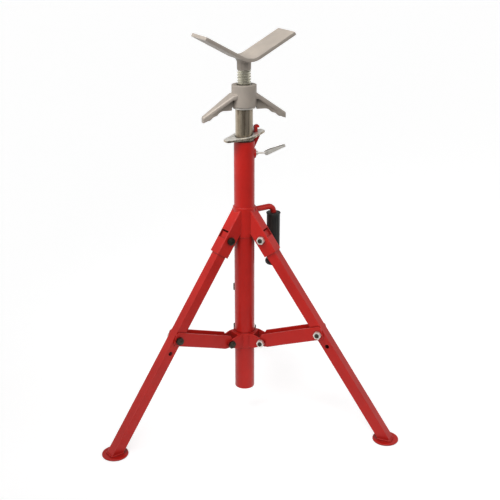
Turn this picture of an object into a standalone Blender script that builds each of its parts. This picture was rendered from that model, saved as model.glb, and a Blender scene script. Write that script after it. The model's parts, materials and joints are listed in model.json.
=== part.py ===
"""Folding pipe stand with a V head, as separate pieces. Metres, +Z up, standing on z = 0.

The origin is under the middle of the stand's box. The column stands in front of it, because one
leg points back and two point forward.
"""

import math

import bmesh
import bpy
from mathutils import Matrix

# Driving dimensions, metres and radians.
GAP = 0.0003
ROUND = 48
SMALL_ROUND = 20

COLUMN_R = 0.02415
COLUMN_WALL = 0.0032
COLUMN_BOTTOM = 0.065
COLUMN_LENGTH = 0.633

SLIDE_CLEARANCE = 0.0008
INNER_WALL = 0.003
INNER_OUT = 0.075
INNER_LENGTH = 0.400

SCREW_CLEARANCE = 0.00115
SCREW_ABOVE_NUT = 0.032
SCREW_LENGTH = 0.250
STEM_R = 0.009
STEM_LENGTH = 0.045

WASHER_R = 0.026
WASHER_THICK = 0.0034
NUT_HUB_R = 0.0284
NUT_HUB_HEIGHT = 0.050
NUT_BORE_CLEARANCE = 0.0004
NUT_ARM_REACH = 0.0985
NUT_ARM_DROP = 0.049
NUT_ARM_UNDER = 0.008
NUT_ROOT_OUT = 0.001
NUT_ARM_ROOT = 0.040
NUT_ARM_END = 0.016
NUT_KNUCKLE = 0.020
NUT_ARM_TIP = 0.016
NUT_ARM_TURN = math.radians(12.5)
NUT_SCALLOPS = 3
NUT_SCALLOP_DEPTH = 0.0022

HEAD_TURN = math.radians(20)
HEAD_HALF_SPAN = 0.106
HEAD_SLOPE = math.radians(28.5)
HEAD_DEPTH = 0.080
HEAD_PLATE = 0.008
HEAD_BEND_R = 0.040
NECK_R = 0.0157
NECK_HEIGHT = 0.0215

FRONT_LEGS_APART = math.radians(120)
BACK_LEG_TURN = math.radians(86.8)
LEG_SIDE = 0.025
LEG_WALL = 0.0025
LEG_SPREAD = math.radians(34.76)
LEG_LENGTH = 0.563
LEG_TOP = 0.014
PIVOT_OUT = 0.0267
FOOT_R = 0.031
FOOT_THICK = 0.005
FOOT_RIM = 0.0035
SPARE_HOLE_ON_LEG = 0.2983

SHEET = 0.003
SIDE_PLAY = 0.0005
BRACKET_PLAY = 0.001
BRACKET_END = 0.040
BRACKET_WEB_END = -0.018
BRACKET_STRAP_START = 0.0015
SLEEVE_WALL = 0.0027
SLEEVE_BELOW_TOP = 0.003
BRACKET_TOP = 0.0704
SLEEVE_BOTTOM = 0.0024

BRACE_ON_LEG = 0.262
BRACE_OFFSET = 0.0026
BRACE_SLOPE = math.radians(18.9)
BRACE_ABOVE = 0.0195
BRACE_UNDER_LEG = 0.0017
BRACE_END = 0.012
BRACE_TOP_START = 0.006
BRACE_LOW_START = 0.010
BRACE_PLAY = 0.0005
BRACE_WEB_START = 0.030
BRACE_WEB_LENGTH = 0.045

COLLAR_CLEARANCE = 0.0006
COLLAR_WALL = 0.0031
COLLAR_HEIGHT = 0.039
COLLAR_PIN_UP = 0.0202
COLLAR_PIN_OUT = 0.0252
EAR_END_R = 0.0095
EAR_PLAY = 0.0004

BOLT_R = 0.005
BOLT_FLATS = 0.017
BOLT_HEAD = 0.0064
NUT_THICK = 0.008
BOLT_PAST_NUT = 0.003
HOLE_R = BOLT_R + GAP

HOOK_TURN = math.radians(25)
HOOK_THICK = 0.006
HOOK_STEM_START = 0.0258
HOOK_STEM_WIDTH = 0.0085
HOOK_REACH = 0.0415
HOOK_TIP_REACH = 0.039
HOOK_FOOT = 0.018
HOOK_RISE = 0.019
PLATE_TILT = math.radians(8)
PLATE_THICK = 0.005
PLATE_OVER_COLUMN = 0.0105
PLATE_HALF_WIDTH = 0.031
PLATE_END_HALF = 0.0117
PLATE_FRONT = 0.050
PLATE_BACK = 0.051
PLATE_HOLE_PLAY = 0.0012
PLATE_PIVOT_R = 0.041

LOCK_TURN = math.radians(1)
LOCK_BELOW_TOP = 0.0305
LOCK_BOSS_R = 0.0105
LOCK_BOSS_OUT = 0.0026
LOCK_COLLAR_R = 0.0055
LOCK_COLLAR_LENGTH = 0.0042
LOCK_NECK_R = 0.0022
LOCK_NECK_LENGTH = 0.0162
LOCK_EYE_R = 0.0042
LOCK_EYE_WIDTH = 0.006
LOCK_PIN_R = 0.0016
LEVER_RISE = math.radians(24.5)
LEVER_LENGTH = 0.0465
LEVER_FORK_R = 0.0050
LEVER_TIP_HEIGHT = 0.0045
LEVER_SHEET = 0.0015
LEVER_PLAY = 0.0004

HANDLE_TURN = math.radians(28)
HANDLE_ROD_R = 0.007
HANDLE_REACH = 0.084
HANDLE_BEND_R = 0.016
HANDLE_BELOW_TOP = 0.014
GRIP_R = 0.016
GRIP_LENGTH = 0.134
GRIP_BELOW_BEND = 0.0005
GRIP_RIM_R = 0.0175
GRIP_RIM = 0.004
GRIP_END_WALL = 0.012
GRIP_BULB_R = 0.0195
GRIP_BULB = 0.016

# Sizes and places that follow from the ones above.
COLUMN_TOP = COLUMN_BOTTOM + COLUMN_LENGTH
COLUMN_BORE = COLUMN_R - COLUMN_WALL
INNER_R = COLUMN_BORE - SLIDE_CLEARANCE
INNER_BORE = INNER_R - INNER_WALL
INNER_TOP = COLUMN_TOP + INNER_OUT
INNER_BOTTOM = INNER_TOP - INNER_LENGTH
SCREW_R = INNER_BORE - SCREW_CLEARANCE
WASHER_TOP = INNER_TOP + GAP + WASHER_THICK
NUT_BOTTOM = WASHER_TOP + GAP
NUT_TOP = NUT_BOTTOM + NUT_HUB_HEIGHT
SCREW_TOP = NUT_TOP + SCREW_ABOVE_NUT
NECK_BOTTOM = SCREW_TOP + GAP
BEND_OUTER = HEAD_BEND_R + HEAD_PLATE
BEND_CENTRE = NECK_BOTTOM + NECK_HEIGHT + GAP + BEND_OUTER

PIVOT_R = COLUMN_R + PIVOT_OUT
PIVOT_Z = FOOT_THICK + LEG_LENGTH * math.cos(LEG_SPREAD)
FOOT_CIRCLE = PIVOT_R + LEG_LENGTH * math.sin(LEG_SPREAD)
FRONT_TURN = math.radians(270)
LEG_TURNS = (FRONT_TURN - FRONT_LEGS_APART / 2, FRONT_TURN + FRONT_LEGS_APART / 2, BACK_LEG_TURN)
AXIS_Y = -FOOT_CIRCLE * (math.sin(BACK_LEG_TURN) - math.cos(FRONT_LEGS_APART / 2)) / 2
LEG_HALF = LEG_SIDE / 2
BRACKET_IN = LEG_HALF + SIDE_PLAY
BRACKET_OUT = BRACKET_IN + SHEET
BRACKET_HALF = LEG_HALF + BRACKET_PLAY + SHEET
SLEEVE_R = COLUMN_R + GAP + SLEEVE_WALL

JOINT_R = (PIVOT_R + BRACE_ON_LEG * math.sin(LEG_SPREAD)
           - BRACE_OFFSET * math.cos(LEG_SPREAD))
JOINT_Z = (PIVOT_Z - BRACE_ON_LEG * math.cos(LEG_SPREAD)
           - BRACE_OFFSET * math.sin(LEG_SPREAD))
COLLAR_BORE = COLUMN_R + COLLAR_CLEARANCE
COLLAR_R = COLLAR_BORE + COLLAR_WALL
COLLAR_PIN_R = COLLAR_R + COLLAR_PIN_OUT
BRACE_LENGTH = (JOINT_R - COLLAR_PIN_R) / math.cos(BRACE_SLOPE)
COLLAR_PIN_Z = JOINT_Z - BRACE_LENGTH * math.sin(BRACE_SLOPE)
BRACE_IN = LEG_HALF + BRACE_PLAY
BRACE_OUT = BRACE_IN + SHEET
BRACE_BELOW = LEG_HALF + BRACE_UNDER_LEG
EAR_IN = BRACE_OUT + EAR_PLAY
EAR_OUT = EAR_IN + SHEET

PLATE_Z = COLUMN_TOP + PLATE_OVER_COLUMN
PLATE_HOLE = INNER_R + PLATE_HOLE_PLAY
PLATE_PIVOT_Z = (PLATE_Z + PLATE_PIVOT_R * math.tan(PLATE_TILT)
                 - PLATE_THICK / 2 / math.cos(PLATE_TILT))
LOCK_Z = COLUMN_TOP - LOCK_BELOW_TOP
LOCK_START = INNER_R + GAP
LOCK_COLLAR_START = COLUMN_R + LOCK_BOSS_OUT + GAP
LOCK_NECK_START = LOCK_COLLAR_START + LOCK_COLLAR_LENGTH
LOCK_PIN_AT = LOCK_NECK_START + LOCK_NECK_LENGTH + LOCK_EYE_R
SLEEVE_TOP = PIVOT_Z + BRACKET_TOP + SLEEVE_BELOW_TOP
HANDLE_Z = SLEEVE_TOP - HANDLE_BELOW_TOP
GRIP_TOP = HANDLE_Z - HANDLE_BEND_R - GRIP_BELOW_BEND


def material(name, colour, roughness, metallic):
    made = bpy.data.materials.new(name)
    made.use_nodes = True
    shader = made.node_tree.nodes["Principled BSDF"]
    shader.inputs["Base Color"].default_value = (*colour, 1)
    shader.inputs["Roughness"].default_value = roughness
    shader.inputs["Metallic"].default_value = metallic
    return made


def clear_scene():
    for old in list(bpy.data.objects):
        bpy.data.objects.remove(old)


def empty(name, parent=None, location=(0, 0, 0), rotation=(0, 0, 0)):
    made = bpy.data.objects.new(name, None)
    bpy.context.scene.collection.objects.link(made)
    made.parent = parent
    made.location = location
    made.rotation_euler = rotation
    return made


def mesh_object(name, shape, parent, finish=None):
    """Turns a bmesh into a named object under its parent. One without a finish is a hidden cutter."""
    bmesh.ops.recalc_face_normals(shape, faces=shape.faces)
    mesh = bpy.data.meshes.new(name)
    shape.to_mesh(mesh)
    shape.free()
    made = bpy.data.objects.new(name, mesh)
    bpy.context.scene.collection.objects.link(made)
    made.parent = parent
    if finish is None:
        made.hide_render = True
        made.display_type = "WIRE"
    else:
        mesh.materials.append(finish)
        mesh.shade_smooth()
        mesh.set_sharp_from_angle(angle=math.radians(35))
    return made


def combine(target, shape, operation):
    """Adds a bmesh to the target, or takes it away, as a Boolean with a hidden helper."""
    number = len(target.modifiers)
    helper = mesh_object(f"{target.name}_helper_{number}", shape, target.parent)
    helper.matrix_local = target.matrix_local
    step = target.modifiers.new(f"{operation.lower()}_{number}", "BOOLEAN")
    step.operation = operation
    step.object = helper


def cut(target, shape):
    combine(target, shape, "DIFFERENCE")


def join(target, shape):
    combine(target, shape, "UNION")


def ring(shape, radius, height, sides):
    if radius < 1e-6:
        return [shape.verts.new((0, 0, height))]
    turns = [2 * math.pi * i / sides for i in range(sides)]
    return [shape.verts.new((radius * math.cos(t), radius * math.sin(t), height)) for t in turns]


def bridge(shape, first, second):
    sides = max(len(first), len(second))
    for i in range(sides):
        j = (i + 1) % sides
        corners = [first[i % len(first)], first[j % len(first)],
                   second[j % len(second)], second[i % len(second)]]
        shape.faces.new(list(dict.fromkeys(corners)))


def turned(profile, sides=ROUND):
    """A solid of revolution about Z. The profile of (radius, height) points runs from axis to axis,
    or closes on itself where it never meets the axis."""
    shape = bmesh.new()
    rings = [ring(shape, radius, height, sides) for radius, height in profile]
    for first, second in zip(rings, rings[1:]):
        bridge(shape, first, second)
    if profile[0][0] > 1e-6:
        bridge(shape, rings[-1], rings[0])
    return shape


def tube(outer, inner, bottom, top, sides=ROUND):
    return turned([(outer, top), (outer, bottom), (inner, bottom), (inner, top)], sides)


def rod(radius, bottom, top, sides=SMALL_ROUND):
    return turned([(0, top), (radius, top), (radius, bottom), (0, bottom)], sides)


def prism(outline, start, end):
    """Extrudes an outline of (x, z) points along Y."""
    shape = bmesh.new()
    near = [shape.verts.new((x, start, z)) for x, z in outline]
    far = [shape.verts.new((x, end, z)) for x, z in outline]
    shape.faces.new(near)
    shape.faces.new(far[::-1])
    bridge(shape, near, far)
    return shape


def block(low, high):
    return prism([(low[0], low[2]), (high[0], low[2]), (high[0], high[2]), (low[0], high[2])],
                 low[1], high[1])


def arc(centre, radius, start, end, steps):
    """Points of an arc in the (x, z) plane, with its ends."""
    turns = [start + (end - start) * i / steps for i in range(steps + 1)]
    return [(centre[0] + radius * math.cos(t), centre[1] + radius * math.sin(t)) for t in turns]


def moved(shape, matrix):
    bmesh.ops.transform(shape, matrix=matrix, verts=shape.verts)
    return shape


def along_y(shape):
    """Turns a shape made about Z so that its +Z points along +Y."""
    return moved(shape, Matrix.Rotation(math.radians(-90), 4, "X"))


def along_x(shape):
    """Turns a shape made about Z so that its +Z points along +X."""
    return moved(shape, Matrix.Rotation(math.radians(90), 4, "Y"))


def placed(shape, x, y, z):
    return moved(shape, Matrix.Translation((x, y, z)))


def hex_prism(flats, bottom, top):
    """A hexagon about Z with its corners taken off on the top face."""
    corner = flats / math.sqrt(3)
    chamfer = corner - flats / 2
    return turned([(0, top), (flats / 2, top), (corner, top - chamfer), (corner, bottom), (0, bottom)], 6)


def side_bore(x, z, reach):
    return placed(along_y(rod(HOLE_R, -reach, reach)), x, 0, z)


def leg_point(along, normal):
    """A point (x, z) of the leg's plane, from its distances along and square to the leg."""
    sine, cosine = math.sin(LEG_SPREAD), math.cos(LEG_SPREAD)
    return (PIVOT_R + along * sine + normal * cosine, PIVOT_Z - along * cosine + normal * sine)


def add_bolt(prefix, number, parent, x, z, face):
    """A hexagon bolt across the leg's plane, with its head on +Y and its nut on -Y."""
    seat = face + GAP
    bolt = hex_prism(BOLT_FLATS, seat, seat + BOLT_HEAD)
    end = -(seat + NUT_THICK + BOLT_PAST_NUT)
    made = mesh_object(f"{prefix}_bolt_{number}", placed(along_y(bolt), x, 0, z), parent, BOLT_STEEL)
    join(made, placed(along_y(rod(BOLT_R, end, seat + BOLT_HEAD / 2)), x, 0, z))
    add_nut(prefix, number, parent, x, z, seat)


def add_nut(prefix, number, parent, x, z, seat):
    nut = moved(hex_prism(BOLT_FLATS, seat, seat + NUT_THICK), Matrix.Rotation(math.pi, 4, "X"))
    made = mesh_object(f"{prefix}_nut_{number}", placed(along_y(nut), x, 0, z), parent, BRIGHT_ZINC)
    reach = seat + NUT_THICK + GAP
    cut(made, placed(along_y(rod(HOLE_R, -reach, -seat + GAP)), x, 0, z))


def add_column(axis):
    column = mesh_object("main_column", tube(COLUMN_R, COLUMN_BORE, COLUMN_BOTTOM, COLUMN_TOP),
                         axis, RED_PAINT)
    lock_hole = along_x(rod(HOLE_R, COLUMN_BORE / 2, COLUMN_R + COLUMN_WALL))
    cut(column, moved(lock_hole, Matrix.Translation((0, 0, LOCK_Z)) @ Matrix.Rotation(LOCK_TURN, 4, "Z")))
    mesh_object("hub_sleeve", tube(SLEEVE_R, COLUMN_R + GAP, PIVOT_Z + SLEEVE_BOTTOM, SLEEVE_TOP),
                axis, RED_PAINT)


def add_leg_bracket(number, plane):
    """The channel that carries a leg's top. Its web has a window, so that the leg's top can swing out."""
    half = BRACKET_HALF
    top = PIVOT_Z + BRACKET_TOP
    inside = SLEEVE_R / 2
    web_top = (PIVOT_Z + half * math.sin(LEG_SPREAD) - top) / math.cos(LEG_SPREAD)
    column_side = (inside - PIVOT_R + half * math.cos(LEG_SPREAD)) / math.sin(LEG_SPREAD)
    outline = [leg_point(BRACKET_END, half), leg_point(BRACKET_END, -half),
               leg_point(column_side, -half), (inside, top), leg_point(web_top, half)]
    bracket = mesh_object(f"leg_bracket_{number}", prism(outline, -BRACKET_OUT, BRACKET_OUT),
                          plane, RED_PAINT)
    past = LEG_SIDE
    web_inner = half - SHEET
    hollow = [leg_point(BRACKET_END + past, web_inner), leg_point(BRACKET_END + past, -half - past),
              leg_point(web_top - past, -half - past), leg_point(web_top - past, web_inner)]
    cut(bracket, prism(hollow, -BRACKET_IN, BRACKET_IN))
    window = [leg_point(BRACKET_STRAP_START, half + past), leg_point(BRACKET_STRAP_START, 0),
              leg_point(BRACKET_WEB_END, 0), leg_point(BRACKET_WEB_END, half + past)]
    cut(bracket, prism(window, -BRACKET_IN, BRACKET_IN))
    cut(bracket, rod(SLEEVE_R + GAP, PIVOT_Z - LEG_LENGTH / 4, SLEEVE_TOP + past, ROUND))
    cut(bracket, side_bore(PIVOT_R, PIVOT_Z, BRACKET_OUT + past))
    add_bolt("pivot", number, plane, PIVOT_R, PIVOT_Z, BRACKET_OUT)


def slanted_box(half, top, foot):
    """A box about the leg's axis in the leg's own frame, X square to it and Z up along it,
    from the cut at its top to the level cut above its foot."""
    shape = bmesh.new()
    loops = []
    for end in ("top", "foot"):
        loop = []
        for x, y in ((-half, -half), (half, -half), (half, half), (-half, half)):
            low = (PIVOT_Z + x * math.sin(LEG_SPREAD) - foot) / math.cos(LEG_SPREAD)
            loop.append(shape.verts.new((x, y, top if end == "top" else -low)))
        loops.append(loop)
    shape.faces.new(loops[0])
    shape.faces.new(loops[1][::-1])
    bridge(shape, loops[0], loops[1])
    return shape


def add_leg(number, plane):
    """A leg and its foot. The parent empty is on the pivot, turned so that Z runs up the leg."""
    pivot = empty(f"leg_{number}_axis", plane, (PIVOT_R, 0, PIVOT_Z), (0, -LEG_SPREAD, 0))
    leg = mesh_object(f"leg_tube_{number}", slanted_box(LEG_HALF, LEG_TOP, FOOT_THICK + GAP),
                      pivot, RED_PAINT)
    past = LEG_SIDE
    cut(leg, slanted_box(LEG_HALF - LEG_WALL, LEG_TOP + past, FOOT_THICK - past))
    for x, z in ((0, 0), (-BRACE_OFFSET, -BRACE_ON_LEG), (0, -SPARE_HOLE_ON_LEG)):
        cut(leg, side_bore(x, z, LEG_SIDE))
    edge = FOOT_THICK / 3
    foot = turned([(0, FOOT_THICK), (FOOT_R - FOOT_RIM, FOOT_THICK), (FOOT_R - edge / 2, FOOT_THICK - edge),
                   (FOOT_R, edge), (FOOT_R - edge, 0), (0, 0)], 36)
    placed(foot, FOOT_CIRCLE, 0, 0)
    into_leg = Matrix.Rotation(LEG_SPREAD, 4, "Y") @ Matrix.Translation((-PIVOT_R, 0, -PIVOT_Z))
    mesh_object(f"foot_pad_{number}", moved(foot, into_leg), pivot, RED_PAINT)


def add_collar(axis):
    """The sleeve that slides on the column, in a frame whose zero is the pins' height."""
    slide = empty("collar_axis", axis, (0, 0, COLLAR_PIN_Z))
    bottom = -COLLAR_PIN_UP
    mesh_object("collar_sleeve", tube(COLLAR_R, COLLAR_BORE, bottom, bottom + COLLAR_HEIGHT),
                slide, RED_PAINT)
    return slide


def add_collar_ears(number, slide, turn):
    plane = empty(f"collar_plane_{number}", slide, rotation=(0, 0, turn))
    bottom = -COLLAR_PIN_UP
    top = bottom + COLLAR_HEIGHT
    inset = SHEET / 2
    inside = COLLAR_R / 2
    end = arc((COLLAR_PIN_R, 0), EAR_END_R, math.radians(-80), math.radians(80), 8)
    outline = [(inside, bottom + inset), (COLLAR_R + SHEET, bottom + inset), *end,
               (COLLAR_R + SHEET, top - inset), (inside, top - inset)]
    ears = mesh_object(f"collar_ears_{number}", prism(outline, -EAR_OUT, EAR_OUT), plane, RED_PAINT)
    past = LEG_SIDE
    cut(ears, block((COLLAR_R + GAP + SHEET, -EAR_IN, bottom - past),
                    (COLLAR_PIN_R + past, EAR_IN, top + past)))
    cut(ears, rod(COLLAR_R + GAP, bottom - past, top + past, ROUND))
    cut(ears, side_bore(COLLAR_PIN_R, 0, EAR_OUT + past))
    add_bolt("collar", number, plane, COLLAR_PIN_R, 0, EAR_OUT)
    return plane


def add_brace(number, plane):
    """The channel from the collar to a leg, in a frame on the collar's pin with X along the brace."""
    pin = empty(f"brace_{number}_axis", plane, (COLLAR_PIN_R, 0, 0), (0, -BRACE_SLOPE, 0))
    corner = BRACE_END / 2
    far = BRACE_LENGTH + BRACE_END
    outline = [(BRACE_LOW_START, -BRACE_BELOW), (far - corner, -BRACE_BELOW), (far, -BRACE_BELOW + corner),
               (far, BRACE_ABOVE - corner), (far - corner, BRACE_ABOVE), (BRACE_TOP_START, BRACE_ABOVE),
               (-EAR_END_R, corner / 2), (-EAR_END_R, -corner)]
    brace = mesh_object(f"brace_{number}", prism(outline, -BRACE_OUT, BRACE_OUT), pin, RED_PAINT)
    past = LEG_SIDE
    web_top = SHEET - BRACE_BELOW
    cut(brace, block((-past, -BRACE_IN, web_top), (far + past, BRACE_IN, BRACE_ABOVE + past)))
    cut(brace, block((-past, -BRACE_IN, -BRACE_BELOW - past), (BRACE_WEB_START, BRACE_IN, past)))
    cut(brace, block((BRACE_WEB_START + BRACE_WEB_LENGTH, -BRACE_IN, -BRACE_BELOW - past),
                     (far + past, BRACE_IN, past)))
    cut(brace, side_bore(0, 0, BRACE_OUT + past))
    cut(brace, side_bore(BRACE_LENGTH, 0, BRACE_OUT + past))
    add_brace_ends(number, pin)


def add_brace_ends(number, pin):
    """The leg end's bolt, made as its two ends: the leg turns between them, free of a shank."""
    seat = BRACE_OUT + GAP
    stub = BRACE_IN + GAP
    head = mesh_object(f"brace_bolt_{number}",
                       placed(along_y(hex_prism(BOLT_FLATS, seat, seat + BOLT_HEAD)), BRACE_LENGTH, 0, 0),
                       pin, BOLT_STEEL)
    join(head, placed(along_y(rod(BOLT_R, stub, seat + BOLT_HEAD / 2)), BRACE_LENGTH, 0, 0))
    nut = moved(hex_prism(BOLT_FLATS, seat, seat + NUT_THICK), Matrix.Rotation(math.pi, 4, "X"))
    end = mesh_object(f"brace_nut_{number}", placed(along_y(nut), BRACE_LENGTH, 0, 0), pin, BRIGHT_ZINC)
    past_nut = -(seat + NUT_THICK + BOLT_PAST_NUT)
    join(end, placed(along_y(rod(BOLT_R, past_nut, -stub)), BRACE_LENGTH, 0, 0))


def add_mast(axis):
    """The inner tube with its washer, the wing nut and the screw that it lifts."""
    mast = empty("mast_axis", axis)
    mesh_object("inner_tube", tube(INNER_R, INNER_BORE, INNER_BOTTOM, INNER_TOP),
                mast, ZINC_STEEL)
    washer = tube(WASHER_R, SCREW_R + NUT_BORE_CLEARANCE, INNER_TOP + GAP, WASHER_TOP, 36)
    mesh_object("thrust_washer", washer, mast, BRIGHT_ZINC)
    add_wing_nut(mast)
    screw = mesh_object("lift_screw", rod(SCREW_R, SCREW_TOP - SCREW_LENGTH, SCREW_TOP, 36),
                        mast, YELLOW_ZINC)
    bore_bottom = SCREW_TOP - STEM_LENGTH - GAP
    cut(screw, rod(STEM_R + GAP, bore_bottom, SCREW_TOP + STEM_LENGTH))
    add_head(mast)


def wing_arm_outline():
    """One arm of the wing nut in its (radius, height) plane, with finger scallops under it."""
    root = NUT_HUB_HEIGHT * 0.61
    under = NUT_BOTTOM - NUT_ARM_UNDER
    tip = NUT_BOTTOM + root - NUT_ARM_DROP
    root_end = max(WASHER_R, NUT_HUB_R) + NUT_ROOT_OUT
    grip_start = root_end + NUT_KNUCKLE
    tip_low = tip - NUT_ARM_TIP
    points = [(NUT_HUB_R * 0.6, NUT_BOTTOM + root), (NUT_HUB_R * 0.95, NUT_BOTTOM + root),
              (NUT_ARM_REACH - NUT_ARM_TIP / 4, tip + NUT_ARM_TIP / 8),
              (NUT_ARM_REACH, tip - NUT_ARM_TIP / 5), (NUT_ARM_REACH - NUT_ARM_TIP / 6, tip_low)]
    steps = 6 * NUT_SCALLOPS
    grip_end = NUT_ARM_REACH - NUT_ARM_TIP / 2
    for i in range(steps + 1):
        share = i / steps
        lift = NUT_SCALLOP_DEPTH * abs(math.sin(math.pi * NUT_SCALLOPS * share))
        points.append((grip_end + (grip_start - grip_end) * share,
                       tip_low + (under - tip_low) * share + lift))
    root_under = NUT_BOTTOM + GAP * 3
    points += [(root_end, under), (root_end, root_under), (NUT_HUB_R * 0.6, root_under)]
    return points


def wing_arm():
    """The arm as a solid that narrows evenly from the hub to its tip."""
    outline = wing_arm_outline()
    start = outline[0][0]
    shape = prism(outline, -1, 1)
    for corner in shape.verts:
        share = (corner.co.x - start) / (NUT_ARM_REACH - start)
        corner.co.y *= (NUT_ARM_ROOT + (NUT_ARM_END - NUT_ARM_ROOT) * share) / 2
    return shape


def add_wing_nut(mast):
    turn = empty("wing_nut_axis", mast, rotation=(0, 0, NUT_ARM_TURN))
    edge = NUT_HUB_HEIGHT / 20
    hub = turned([(0, NUT_TOP), (NUT_HUB_R - edge, NUT_TOP), (NUT_HUB_R, NUT_TOP - edge),
                  (NUT_HUB_R, NUT_BOTTOM + edge), (NUT_HUB_R - edge, NUT_BOTTOM), (0, NUT_BOTTOM)], 36)
    nut = mesh_object("wing_nut", hub, turn, CAST_GREY)
    for side in (0, math.pi):
        join(nut, moved(wing_arm(), Matrix.Rotation(side, 4, "Z")))
    cut(nut, rod(SCREW_R + NUT_BORE_CLEARANCE, NUT_BOTTOM - NUT_HUB_HEIGHT, NUT_TOP + NUT_HUB_HEIGHT, 36))


def add_head(mast):
    turn = empty("head_axis", mast, rotation=(0, 0, HEAD_TURN))
    down = math.radians(-90)
    centre = (0, BEND_CENTRE)
    wing = (HEAD_HALF_SPAN - HEAD_BEND_R * math.sin(HEAD_SLOPE)) / math.cos(HEAD_SLOPE)
    along = (wing * math.cos(HEAD_SLOPE), wing * math.sin(HEAD_SLOPE))
    top = arc(centre, HEAD_BEND_R, down - HEAD_SLOPE, down + HEAD_SLOPE, 12)
    under = arc(centre, BEND_OUTER, down + HEAD_SLOPE, down - HEAD_SLOPE, 12)
    outline = [(top[0][0] - along[0], top[0][1] + along[1]), *top,
               (top[-1][0] + along[0], top[-1][1] + along[1]),
               (under[0][0] + along[0], under[0][1] + along[1]), *under,
               (under[-1][0] - along[0], under[-1][1] + along[1])]
    mesh_object("v_head", prism(outline, -HEAD_DEPTH / 2, HEAD_DEPTH / 2), turn, CAST_GREY)
    taper = NECK_R * 0.04
    neck = turned([(0, BEND_CENTRE - HEAD_BEND_R), (NECK_R + taper, BEND_CENTRE - HEAD_BEND_R),
                   (NECK_R - taper, NECK_BOTTOM), (STEM_R, NECK_BOTTOM),
                   (STEM_R, NECK_BOTTOM - STEM_LENGTH), (0, NECK_BOTTOM - STEM_LENGTH)], 36)
    post = mesh_object("head_neck", neck, turn, CAST_GREY)
    cut(post, placed(along_y(rod(BEND_OUTER + GAP, -HEAD_DEPTH, HEAD_DEPTH, 96)), 0, 0, BEND_CENTRE))


def add_jam_plate(axis):
    """The plate that binds on the inner tube, and the hook that it tilts on."""
    plane = empty("hook_plane", axis, rotation=(0, 0, HOOK_TURN))
    seat = PLATE_PIVOT_Z - GAP
    stem_end = HOOK_STEM_START + HOOK_STEM_WIDTH
    top = seat + HOOK_RISE
    inside = COLUMN_R / 2
    neck = seat - PLATE_THICK
    outline = [(inside, COLUMN_TOP - HOOK_FOOT), (COLUMN_R + HOOK_THICK / 2, COLUMN_TOP - HOOK_FOOT),
               (HOOK_REACH, neck), (HOOK_REACH, seat), (PLATE_PIVOT_R, seat),
               (stem_end, neck), (stem_end, top - HOOK_THICK), (HOOK_TIP_REACH, top - HOOK_THICK),
               (HOOK_TIP_REACH, top - HOOK_THICK / 3), (stem_end, top + HOOK_THICK / 3),
               (HOOK_STEM_START + HOOK_THICK / 3, top), (HOOK_STEM_START, top - HOOK_THICK / 2),
               (HOOK_STEM_START, COLUMN_TOP - HOOK_THICK / 3), (inside, COLUMN_TOP - HOOK_THICK / 3)]
    hook = mesh_object("plate_hook", prism(outline, -HOOK_THICK / 2, HOOK_THICK / 2), plane, RED_PAINT)
    cut(hook, rod(COLUMN_R + GAP, COLUMN_TOP - COLUMN_R * 3, COLUMN_TOP + COLUMN_R, ROUND))
    tilt = empty("jam_plate_axis", plane, (PLATE_PIVOT_R, 0, PLATE_PIVOT_Z), (0, -PLATE_TILT, 0))
    middle = -PLATE_PIVOT_R / math.cos(PLATE_TILT) + PLATE_THICK / 2 * math.tan(PLATE_TILT)
    add_plate(tilt, middle)


def add_plate(tilt, middle):
    """The plate in its own frame: X along it, its underside at zero, the tube's middle at the given X."""
    side = arc((0, 0), PLATE_HALF_WIDTH, math.radians(50), math.radians(130), 8)
    corner = PLATE_END_HALF / 3
    half = [(PLATE_BACK, PLATE_END_HALF - corner), (PLATE_BACK - corner, PLATE_END_HALF), *side,
            (-PLATE_FRONT + corner, PLATE_END_HALF), (-PLATE_FRONT, PLATE_END_HALF - corner)]
    outline = half + [(x, -y) for x, y in reversed(half)]
    flat = moved(prism(outline, 0, PLATE_THICK), Matrix.Rotation(math.radians(90), 4, "X"))
    plate = mesh_object("jam_plate", placed(flat, middle, 0, 0), tilt, BRIGHT_ZINC)
    plate_top = PLATE_THICK * 2
    cut(plate, placed(rod(PLATE_HOLE, -plate_top, plate_top, ROUND), middle, 0, 0))
    slot_play = HOOK_THICK / 4
    slot_half = HOOK_THICK / 2 + slot_play
    cut(plate, block((HOOK_STEM_START - slot_play - PLATE_PIVOT_R, -slot_half, -plate_top),
                     (HOOK_STEM_START + HOOK_STEM_WIDTH + slot_play - PLATE_PIVOT_R, slot_half, plate_top)))


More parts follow.
